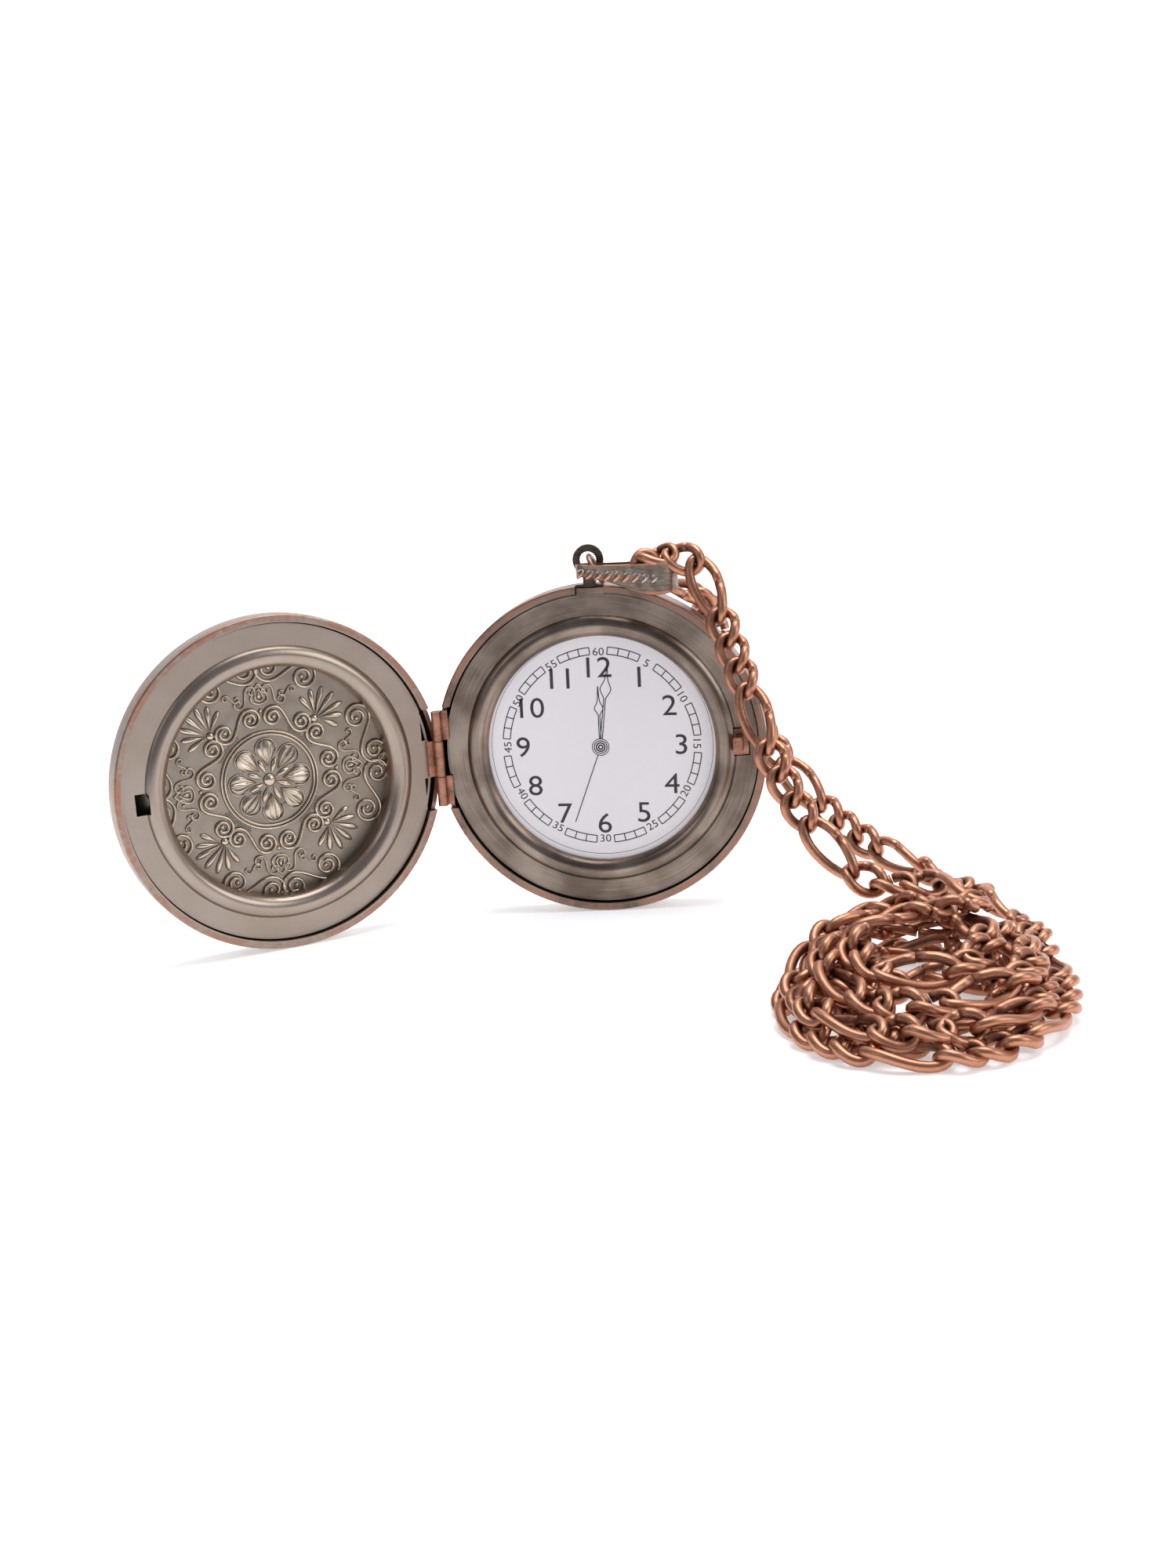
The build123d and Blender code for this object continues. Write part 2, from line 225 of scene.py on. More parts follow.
class Finish:
    """A material under construction."""

    def __init__(self, name):
        self.material = bpy.data.materials.new(name)
        self.material.use_nodes = True
        self.tree = self.material.node_tree
        self.tree.nodes.clear()

    def node(self, kind, settings=None, values=None, output=0):
        """Adds a node: its type, its settings, then the values or links of its sockets."""
        made = self.tree.nodes.new(kind)
        for name, value in (settings or {}).items():
            setattr(made, name, value)
        for key, value in (values or {}).items():
            if isinstance(value, Socket):
                self.tree.links.new(value.output, made.inputs[key])
            else:
                made.inputs[key].default_value = value
        return Socket(self, made.outputs[output]) if len(made.outputs) else None

    def face_place(self, middle, turn):
        """Object coordinates in millimetres in a half's own plane: right, up, outward."""
        where = self.node("ShaderNodeTexCoord", output=3)
        values = {0: where, 1: tuple(middle * MM), 2: (np.pi / 2, 0, np.radians(turn)), 3: (MM,) * 3}
        return self.node("ShaderNodeMapping", {"vector_type": "TEXTURE"}, values)

    def row_place(self):
        """Object coordinates in millimetres in the shared frame."""
        where = self.node("ShaderNodeTexCoord", output=3)
        values = {0: where, 3: (1 / MM,) * 3}
        return self.node("ShaderNodeMapping", {"vector_type": "POINT"}, values)

    def split(self, vector):
        """The three numbers of a vector."""
        made = self.node("ShaderNodeSeparateXYZ", None, {0: vector})
        return [Socket(self, out) for out in made.output.node.outputs]

    def join(self, x, y, z):
        """A vector from three numbers."""
        return self.node("ShaderNodeCombineXYZ", None, {0: x, 1: y, 2: z})

    def noise(self, where, scale, detail=2.0):
        """Smooth noise from 0 to 1, scale times per millimetre."""
        values = {"Vector": where, "Scale": scale, "Detail": detail}
        return self.node("ShaderNodeTexNoise", None, values)

    def blend(self, share, low, high):
        """Low where share is 0 and high where it is 1; each a colour socket or three numbers."""
        low, high = [(*c, 1.0) if isinstance(c, tuple) else c for c in (low, high)]
        return self.node("ShaderNodeMix", {"data_type": "RGBA"}, {0: share, 6: low, 7: high}, 2)

    def bumped(self, height, distance, strength=1.0):
        """A normal from a height in millimetres."""
        values = {"Height": height, "Distance": distance * MM, "Strength": strength}
        return self.node("ShaderNodeBump", None, values)

    def surface(self, **values):
        """Closes the material with a Principled shader; names use _ for spaces."""
        shader = self.node("ShaderNodeBsdfPrincipled")
        inputs = shader.output.node.inputs
        for name, value in values.items():
            socket = inputs[name.replace("_", " ")]
            if isinstance(value, Socket):
                self.tree.links.new(value.output, socket)
            else:
                socket.default_value = (*value, 1.0) if isinstance(value, tuple) else value
        self.node("ShaderNodeOutputMaterial", None, {0: shader})
        return self.material


def rgb(red, green, blue):
    """Linear colour from the 0-255 numbers a colour picker shows."""
    shown = np.array((red, green, blue)) / 255
    return tuple(float(c) for c in np.where(shown <= 0.04045, shown / 12.92, ((shown + 0.055) / 1.055) ** 2.4))


def turned_gunmetal(name, middle, turn, tones, tint, tint_low, rough):
    """Pressed and plated sheet: fine rings of brushing round the half's axis, cloudy darker
    patches, a smoother raised bead, and thin plating with copper at the rim and by the dial."""
    finish = Finish(name)
    x, y, z = finish.split(finish.face_place(middle, turn))
    radius = (x * x + y * y) ** 0.5
    brushed = finish.noise(finish.join(radius * 7.0, x * 0.16, y * 0.16), 1.0, 3.0)
    fine = finish.noise(finish.join(radius * 26.0, x * 0.4, y * 0.4), 1.0, 2.0)
    clouds = finish.noise(finish.join(x, y, z), 0.11, 3.0)
    flecks = finish.noise(finish.join(x, y, z), 1.1, 3.0)
    rim = radius.smooth(22.95, 23.2) * z.smooth(-2.6, -0.9)
    by_dial = radius.smooth(17.4, 16.7) * radius.smooth(16.1, 16.6) * clouds.smooth(0.46, 0.62) * 0.7
    patches = (clouds * 0.6 + flecks * 0.5).smooth(0.42, 0.64)
    worn = (rim * patches).math("MAXIMUM", rim * patches, by_dial)
    bead = radius.smooth(16.4, 17.0) * radius.smooth(19.7, 19.1)
    shade = (clouds * 0.75 + brushed * 0.25).smooth(0.36, 0.66)
    metal = finish.blend(shade, tones[0], tones[1])
    metal = finish.blend(worn * 0.85, metal, finish.blend(fine, tint_low, tint))
    roughness = fine * 0.10 + brushed * 0.06 + (1 - bead) * 0.10 + rough
    height = brushed * 0.3 + fine * 0.5
    return finish.surface(Base_Color=metal, Metallic=1.0, Roughness=roughness,
                          Normal=finish.bumped(height, 0.005, 0.5))


def worn_metal(name, dark, light, rough, grain=1.2, groove=0.02):
    """Plated small parts: cloudy from dark to light, with fine scratches and faint dents."""
    finish = Finish(name)
    where = finish.row_place()
    x, y, z = finish.split(where)
    clouds = finish.noise(where, 0.5, 3.0)
    scratches = finish.noise(finish.join(x * 0.6, y * 0.6, z * 6.0), grain, 3.0)
    shade = (clouds * 0.7 + scratches * 0.4).smooth(0.35, 0.75)
    metal = finish.blend(shade, dark, light)
    return finish.surface(Base_Color=metal, Metallic=1.0, Roughness=scratches * 0.2 + rough,
                          Normal=finish.bumped(scratches, groove, 0.5))


def chain_copper(colours):
    """Satin copper wire: painted shade, brown, in the inner corners of each link, where the mesh's shade attribute is
    high, with cloudy brown patches, drawn streaks and small pits."""
    finish = Finish("chain_satin_copper")
    where = finish.row_place()
    # Painted shade: the point attribute is high on the inner side of the wire and near the link ends, where the links
    # meet.
    inner = finish.node("ShaderNodeAttribute", {"attribute_name": "inner_shade"}, output=2)
    clouds = finish.noise(where, 0.35, 3.0)
    pits = finish.noise(where, 2.2, 4.0)
    fine = finish.noise(where, 9.0, 2.0)
    # The dark share is painted shade from the attribute, plus cloudy brown patches and pits.
    dull = (inner * 0.9 + clouds * 0.45 + pits * 0.3).smooth(0.25, 1.1)
    metal = finish.blend(dull, tuple(colours.chain_bright), tuple(colours.chain_dull))
    roughness = fine * 0.12 + dull * 0.18 + 0.3
    return finish.surface(Base_Color=metal, Metallic=1.0, Roughness=roughness,
                          Normal=finish.bumped(pits * 0.6 + fine * 0.4, 0.02, 0.5))


def bail_metal(name, dark, light, tint):
    """The bail's strip: brushed along its length, copper along its upper and lower edges."""
    finish = Finish(name)
    where = finish.row_place()
    x, y, z = finish.split(where)
    brushed = finish.noise(finish.join(x * 0.5, y * 0.5, z * 7.0), 1.2, 3.0)
    clouds = finish.noise(where, 0.7, 2.0)
    along = x - (CASE_MIDDLE[0] - 0.2)
    lower = (along * -0.245 + 48.95).math("MAXIMUM", along * -0.245 + 48.95, 46.95)
    edge = z.smooth(50.75, 51.05).math("MAXIMUM", z.smooth(50.75, 51.05), (z - lower).smooth(0.35, 0.1))
    worn = edge * clouds.smooth(0.3, 0.5)
    metal = finish.blend((brushed * 0.6 + clouds * 0.5).smooth(0.35, 0.75), dark, light)
    return finish.surface(Base_Color=finish.blend(worn, metal, tint), Metallic=1.0,
                          Roughness=brushed * 0.2 + 0.22, Normal=finish.bumped(brushed, 0.015, 0.5))


def rope_metal(name, colours):
    """The rope: copper below and grey plating on its small upper beads."""
    finish = Finish(name)
    where = finish.row_place()
    x, y, z = finish.split(where)
    along = x - (CASE_MIDDLE[0] - 0.2)
    upper = (z + along * 0.083).smooth(50.0, 50.2)
    right = along.smooth(6.0, 9.5)
    fine = finish.noise(where, 3.0, 3.0)
    plated = finish.blend(fine, tuple(colours.metal_light), rgb(214, 204, 196))
    metal = finish.blend(upper.math("MAXIMUM", upper, right), tuple(colours.copper_tint), plated)
    return finish.surface(Base_Color=metal, Metallic=1.0, Roughness=fine * 0.2 + 0.16,
                          Normal=finish.bumped(fine, 0.02, 0.4))


def pewter(name, middle, turn):
    """The embossed plate: raised tops with a painted highlight, over a dull grey-brown ground, stippled."""
    finish = Finish(name)
    x, y, z = finish.split(finish.face_place(middle, turn))
    where = finish.join(x, y, z)
    stipple = finish.noise(where, 4.0, 3.0)
    clouds = finish.noise(where, 0.25, 2.0)
    # Painted highlight: the raised pattern is coloured paler than the ground it stands on.
    top = z.smooth(-PLATE_DEPTH + 0.08, -PLATE_DEPTH + 0.3)
    ground = finish.blend(clouds, rgb(132, 121, 110), rgb(166, 154, 142))
    metal = finish.blend(top, ground, finish.blend(stipple, rgb(176, 162, 146), rgb(222, 208, 190)))
    return finish.surface(Base_Color=metal, Metallic=1.0, Roughness=(1 - top) * 0.16 + stipple * 0.12 + 0.16,
                          Normal=finish.bumped(stipple, 0.015, 0.35))


def dial_paper(name, tone):
    """Coated paper: nearly even, with faint fibres and a soft sheen."""
    finish = Finish(name)
    where = finish.row_place()
    fibres = finish.noise(where, 6.0, 4.0)
    clouds = finish.noise(where, 0.12, 2.0)
    warm = tuple(c * f for c, f in zip(tone, (0.985, 0.955, 0.975)))
    colour = finish.blend((fibres * 0.5 + clouds * 0.5), tone, warm)
    return finish.surface(Base_Color=colour, Roughness=fibres * 0.15 + 0.42,
                          Normal=finish.bumped(fibres, 0.008, 0.3))


def card(name):
    """Grey card behind the dial, with coarse fibres."""
    finish = Finish(name)
    fibres = finish.noise(finish.row_place(), 3.0, 4.0)
    colour = finish.blend(fibres, rgb(120, 116, 110), rgb(160, 154, 146))
    return finish.surface(Base_Color=colour, Roughness=0.85, Normal=finish.bumped(fibres, 0.03, 0.5))


def ink(name, tone):
    """Printing ink: dark brown-violet, slightly broken up by the paper."""
    finish = Finish(name)
    grain = finish.noise(finish.row_place(), 7.0, 3.0)
    pale = tuple(c * 1.5 for c in tone)
    return finish.surface(Base_Color=finish.blend(grain.smooth(0.4, 0.8), tone, pale), Roughness=grain * 0.2 + 0.45)


# --- settings a user may change -----------------------------------------------------------------
class ChainSettings(bpy.types.PropertyGroup):
    wire: bpy.props.FloatProperty(
        name="Wire", description="Thickness of the links' wire", default=0.00138, unit="LENGTH")
    small_hole: bpy.props.FloatProperty(
        name="Small link hole", description="Length of the hole in a small link", default=0.0039, unit="LENGTH")
    long_hole: bpy.props.FloatProperty(
        name="Long link hole", description="Length of the hole in a long link", default=0.0086, unit="LENGTH")
    link_width: bpy.props.FloatProperty(
        name="Link width", description="Outside width of a small link", default=0.0050, unit="LENGTH")
    twist: bpy.props.FloatProperty(
        name="Twist", description="How far each end of a link is turned out of its plane",
        default=float(np.radians(40)), subtype="ANGLE")


class ColourSettings(bpy.types.PropertyGroup):
    chain_bright: bpy.props.FloatVectorProperty(
        name="Chain copper", description="Clean copper of the chain", default=rgb(198, 140, 112), subtype="COLOR")
    # Dark copper of the chain: painted shade in the inner corners between the links, and cloudy brown patches.
    chain_dull: bpy.props.FloatVectorProperty(
        name="Chain tarnish", description="Brown copper between the links", default=rgb(86, 56, 44), subtype="COLOR")
    metal_dark: bpy.props.FloatVectorProperty(
        name="Gunmetal dark", description="Dark patches of the plating", default=rgb(110, 96, 86), subtype="COLOR")
    metal_light: bpy.props.FloatVectorProperty(
        name="Gunmetal light", description="Light patches of the plating", default=rgb(164, 149, 136), subtype="COLOR")
    # Used only on the lid: its copy of the plating is painted paler than the body's, as painted light.
    metal_pale: bpy.props.FloatVectorProperty(
        name="Gunmetal pale", description="Lightest patches, on the lid", default=rgb(172, 158, 148), subtype="COLOR")
    copper_tint: bpy.props.FloatVectorProperty(
        name="Copper tint", description="Copper where the plating is thin", default=rgb(196, 142, 118), subtype="COLOR")
    copper_deep: bpy.props.FloatVectorProperty(
        name="Copper shade", description="Darker copper of the rims and hinge", default=rgb(128, 92, 78), subtype="COLOR")
    ink: bpy.props.FloatVectorProperty(
        name="Ink", description="Print on the dial", default=rgb(54, 44, 52), subtype="COLOR")
    paper: bpy.props.FloatVectorProperty(
        name="Dial paper", description="Face of the dial", default=rgb(248, 245, 246), subtype="COLOR")


class StageSettings(bpy.types.PropertyGroup):
    floor: bpy.props.FloatVectorProperty(
        name="Floor", description="Colour of the floor and backdrop", default=(0.92, 0.92, 0.94), subtype="COLOR")
    glow: bpy.props.FloatProperty(
        name="Floor glow", description="Light given off by the lit floor and backdrop", default=0.42)
    glow_from: bpy.props.FloatVectorProperty(
        name="Glow edge", description="Where the glow starts in front of the watch, in millimetres",
        default=(-235.0, -165.0), size=2)
    softbox_watts: bpy.props.FloatProperty(
        name="Key light", description="Power of the large softbox", default=2.5, unit="POWER")
    room: bpy.props.FloatVectorProperty(
        name="Room", description="Dim light of the room round the stage", default=(0.20, 0.21, 0.235), subtype="COLOR")
    lens: bpy.props.FloatProperty(
        name="Lens", description="Focal length for a 36 mm wide sensor, in millimetres", default=65.285)


# --- stage --------------------------------------------------------------------------------------
CAMERA_PLACE = Vector((0.05695409, -0.29091904, 0.08431644))
CAMERA_RIGHT = Vector((0.991305, 0.109443, -0.073048))
CAMERA_UP = Vector((0.047815, 0.217588, 0.974869))
CAMERA_BACK = Vector((0.122586, -0.969886, 0.210463))


class WATCH_OT_stage(bpy.types.Operator):
    """Camera, softboxes and a pale floor that sweeps up into a backdrop"""

    bl_idname = "watch.stage"
    bl_label = "Stage"

    def softbox(self, name, place, target, size, watts):
        """An area light at a place, turned to a target, in metres."""
        light = bpy.data.lights.new(name, "AREA")
        light.shape = "RECTANGLE"
        light.size, light.size_y = size
        light.energy = watts
        lamp = bpy.data.objects.new(name, light)
        away = Vector(place) - Vector(target)
        lamp.matrix_world = Matrix.Translation(place) @ away.to_track_quat("Z", "Y").to_matrix().to_4x4()
        bpy.context.scene.collection.objects.link(lamp)

    def execute(self, context):
        scene = context.scene
        settings = scene.watch_stage
        camera = bpy.data.objects.new("camera", bpy.data.cameras.new("camera"))
        camera.data.sensor_fit = "HORIZONTAL"
        camera.data.sensor_width = 36.0
        camera.data.lens = settings.lens
        camera.data.clip_start = 0.01
        camera.data.clip_end = 20.0
        axes = Matrix((CAMERA_RIGHT, CAMERA_UP, CAMERA_BACK)).transposed()
        camera.matrix_world = Matrix.Translation(CAMERA_PLACE) @ axes.to_4x4()
        scene.collection.objects.link(camera)
        scene.camera = camera
        scene.view_settings.view_transform = "Standard"

        # profile: flat floor, quarter round, upright wall, swept from left to right
        bend = np.linspace(0, np.pi / 2, 13)
        flat, wall, round_radius, half_width = 0.7, 1.6, 0.4, 2.5
        depth = np.concatenate(([-1.5], flat + round_radius * np.sin(bend), [flat + round_radius]))
        height = np.concatenate(([0.0], round_radius * (1 - np.cos(bend)), [wall])) - 0.00005
        across = np.linspace(-half_width, half_width, 3)
        grid = np.stack(np.broadcast_arrays(across[:, None], depth[None], height[None]), -1)
        finish = Finish("stage_paper")
        x, y, z = finish.split(finish.row_place())
        glow = finish.blend(y.smooth(*settings.glow_from), (0.02, 0.02, 0.02), (1.0, 1.0, 1.0))
        finish.surface(Base_Color=tuple(settings.floor), Roughness=0.9, Specular_IOR_Level=0.2,
                       Emission_Color=glow, Emission_Strength=settings.glow)
        mesh = bpy.data.meshes.new("backdrop")
        mesh.from_pydata(grid.reshape(-1, 3).tolist(), [], quads(3, len(depth), False, False)[:, ::-1].tolist())
        mesh.polygons.foreach_set("use_smooth", np.full(len(mesh.polygons), True))
        mesh.materials.append(finish.material)
        backdrop = bpy.data.objects.new("backdrop", mesh)
        scene.collection.objects.link(backdrop)

        world = bpy.data.worlds.new("studio")
        world.use_nodes = True
        world.node_tree.nodes["Background"].inputs["Color"].default_value = (*settings.room, 1.0)
        world.node_tree.nodes["Background"].inputs["Strength"].default_value = 1.0
        scene.world = world
        key = settings.softbox_watts
        self.softbox("softbox_top", (0.10, 0.05, 0.62), (0.02, 0.0, 0.0), (0.5, 0.4), key)
        self.softbox("softbox_right", (0.60, -0.22, 0.34), (0.03, 0.0, 0.02), (0.4, 0.4), key * 0.5)
        self.softbox("softbox_left", (-0.50, -0.45, 0.42), (0.0, 0.0, 0.02), (0.25, 0.3), key * 0.12)
        self.softbox("backdrop_light", (0.0, 0.2, 0.9), (0.0, 1.1, 0.5), (1.6, 0.4), key * 2.4)
        return {"FINISHED"}


# --- chain --------------------------------------------------------------------------------------
# The two strands run from the bail to the heap, from the middle of the case's mouth, with the
# height from the floor.
FRONT_ROUTE = ((16.4, -4.0, 51.2), (18.4, -7.5, 45.0), (20.5, -11.0, 39.2), (22.3, -14.4, 34.0),
               (24.0, -17.3, 28.8), (26.2, -19.8, 23.4), (29.1, -22.2, 18.0), (32.7, -24.3, 13.0),
               (36.9, -26.6, 9.6))
BACK_ROUTE = ((14.6, 0.6, 46.4), (16.0, 5.4, 44.9), (16.4, 10.0, 41.0), (17.2, 10.3, 35.0),
              (19.6, 10.3, 29.6), (22.6, 10.2, 24.2), (26.2, 8.2, 18.8), (30.4, 4.2, 13.9),
              (35.6, -0.8, 10.0), (41.4, -6.4, 7.6), (47.2, -11.8, 6.3), (52.2, -17.4, 5.3),
              (56.0, -23.6, 4.2), (58.2, -31.0, 3.2), (58.6, -38.0, 2.8))
BAIL_START = ((8.3, -2.45, 51.75), (11.9, -2.9, 52.3))
BAIL_END = ((12.2, -1.2, 46.9), (9.3, -2.45, 47.9))

# The loop on top of the heap, then the turns under it, each row of the table being: turns so
# far, share of the heap's reach, height, and how far the turn's middle lies behind the heap's.
HEAP_MIDDLE = np.array((43.2, -50.2))
HEAP_REACH = np.array((16.9, 21.7))
TOP_LOOP_MIDDLE = np.array((44.3, -33.0))
TOP_LOOP_RADIUS = 7.2
TURNS = np.array(((0.0, 0.45, 8.6, 1.8), (0.25, 0.45, 8.2, 1.8), (0.5, 0.47, 7.6, 3.0), (0.75, 0.55, 7.4, 2.6),
                  (1.0, 0.72, 7.4, 2.0), (1.25, 0.70, 6.6, 1.6), (1.5, 0.68, 6.2, 1.2), (1.75, 0.80, 5.9, 0.8),
                  (2.0, 0.90, 5.2, 0.6), (2.5, 0.90, 4.2, 0.0), (3.0, 0.82, 3.9, 1.0), (3.5, 0.52, 4.6, 8.0),
                  (4.0, 0.52, 3.6, 3.0), (4.5, 0.56, 2.2, -1.0), (5.0, 0.52, 1.9, -5.0), (5.5, 0.76, 1.4, 0.0),
                  (6.0, 0.97, 1.4, 0.0), (6.5, 1.0, 1.4, 0.0), (6.78, 1.0, 2.2, 0.0)))
TURNS_FROM = 95.0
LOWEST = 0.02
POINTS_A_TURN = 14


def heap_turns():
    """The heap from its top to the floor: a loop one way round, then turns the other way with
    share, height and middle read off their table, and slow waves so that none is an ellipse."""
    angle = np.radians(np.linspace(116, -88, 7))
    level = np.interp(np.arange(7), (0, 2, 4, 6), (9.3, 9.0, 8.8, 9.8))
    loop = TOP_LOOP_MIDDLE + TOP_LOOP_RADIUS * np.stack((np.cos(angle), np.sin(angle)), -1)
    loop = np.concatenate((loop, level[:, None]), -1)
    count = np.arange(0.09, TURNS[-1, 0], 1 / POINTS_A_TURN)
    share, lift, back = (np.interp(count, TURNS[:, 0], TURNS[:, k]) for k in (1, 2, 3))
    angle = np.radians(TURNS_FROM) + TAU * count
    waves = np.clip(count - 0.4, 0, 1) * np.clip((6.2 - count) / 0.4, 0, 1) * np.clip((share - 0.4) * 4, 0, 1)
    share = share + waves * (0.035 * np.sin(3 * angle + 1.3 * count) + 0.014 * np.sin(5 * angle + 2.1 * count))
    lift = lift + waves * 0.35 * np.sin(2 * angle + 1.7 * count)
    lift = lift + 1.3 * np.sin(angle) * np.clip((4.2 - count) / 2, 0, 1)
    drift = np.stack((-0.45 * back, back), -1)
    ring = HEAP_MIDDLE + drift + HEAP_REACH * share[:, None] * np.stack((np.cos(angle), np.sin(angle)), -1)
    turns = np.concatenate((ring, np.maximum(lift, 1.4)[:, None]), -1)
    return np.concatenate((loop, turns))


def chain_route():
    """Control points of the chain's one line, in the shared frame and in millimetres: out of the
    bail, down the front strand, round the heap from the top to the floor, and up the back
    strand into the bail again."""
    points = np.concatenate((BAIL_START, FRONT_ROUTE, heap_turns(), BACK_ROUTE[::-1], BAIL_END))
    return points + (CASE_MIDDLE[0], CASE_MIDDLE[1], 0.0)


def smooth_line(points):
    """Points along the NURBS spline that has these control points."""
    curve = bpy.data.curves.new("chain_line", "CURVE")
    curve.dimensions = "3D"
    spline = curve.splines.new("NURBS")
    spline.points.add(len(points) - 1)
    weights = np.ones((len(points), 1))
    spline.points.foreach_set("co", np.concatenate((points * MM, weights), 1).ravel())
    spline.order_u = 3
    spline.use_endpoint_u = True
    spline.resolution_u = 12
    holder = bpy.data.objects.new("chain_line", curve)
    mesh = bpy.data.meshes.new_from_object(holder)
    line = np.zeros(len(mesh.vertices) * 3)
    mesh.vertices.foreach_get("co", line)
    bpy.data.objects.remove(holder)
    bpy.data.meshes.remove(mesh)
    bpy.data.curves.remove(curve)
    return line.reshape(-1, 3) / MM


def walk(line, strides):
    """Joints along a line, each a straight stride from the last, until the line ends. Also how
    far along the line each joint is, and what length is left over."""
    along = np.concatenate(([0.0], np.cumsum(np.linalg.norm(np.diff(line, axis=0), axis=1))))
    fine = np.arange(0, along[-1], 0.05)
    dense = np.stack([np.interp(fine, along, line[:, k]) for k in range(3)], -1)
    places, at = [0], 0
    for stride in strides:
        window = dense[at:at + 600]
        past = np.linalg.norm(window - dense[at], axis=1) >= stride
        if not past.any():
            break
        at += int(past.argmax())
        places.append(at)
    return dense[places], fine[places], along[-1] - fine[at]


def fit_links(line, small, long):
    """Joints for whole links all along a line: three small, one long, over and over. The strides
    are stretched by less than a hundredth, found by halving, so that the last joint meets the
    line's end."""
    pattern = np.tile((small, small, long, small), 100)
    joints, along, left = walk(line, pattern)
    pattern = pattern[:len(joints) - 1]
    fits, misses = 1.0, 1.02
    for _ in range(14):
        stretch = (fits + misses) / 2
        if len(walk(line, pattern * stretch)[0]) > len(pattern):
            fits = stretch
        else:
            misses = stretch
    joints, along, left = walk(line, pattern * fits)
    return joints, along, pattern


def link_rings(hole, width, wire, twist, steps=28, sides=9):
    """One curb link round the origin, lying along x: an oval of round wire, turned about its
    own length by an angle that grows from minus twist at one end to plus twist at the other,
    cut through in the middle of a side."""
    half_long, half_wide = (hole + wire) / 2, (width - wire) / 2
    gap = 0.075 / half_long
    t = np.linspace(np.pi / 2 + gap, np.pi / 2 + TAU - gap, steps)
    u = half_long * np.sign(np.cos(t)) * np.abs(np.cos(t)) ** 0.92
    w = half_wide * np.sin(t)
    turn = twist * u / half_long
    path = np.stack((u, w * np.cos(turn), w * np.sin(turn)), -1)
    upward = np.stack((np.zeros_like(t), -np.sin(turn), np.cos(turn)), -1)
    along = unit(np.gradient(path, axis=0))
    upward = unit(upward - (upward * along).sum(-1, keepdims=True) * along)
    across = np.cross(along, upward)
    a = np.linspace(0, TAU, sides, endpoint=False)
    inward = -unit(path * (1, 1, 1))
    offsets = wire / 2 * (np.cos(a)[None, :, None] * across[:, None] + np.sin(a)[None, :, None] * upward[:, None])
    # Painted shade: high on the inner side of the wire, most near the link ends where the links touch.
    facing_in = np.clip((offsets * inward[:, None]).sum(-1) / (wire / 2), 0, 1)
    near_end = np.abs(np.cos(t))[:, None] ** 2
    inner_shade = np.clip(facing_in * (0.45 + 0.75 * near_end), 0, 1)
    return path[:, None] + offsets, inner_shade


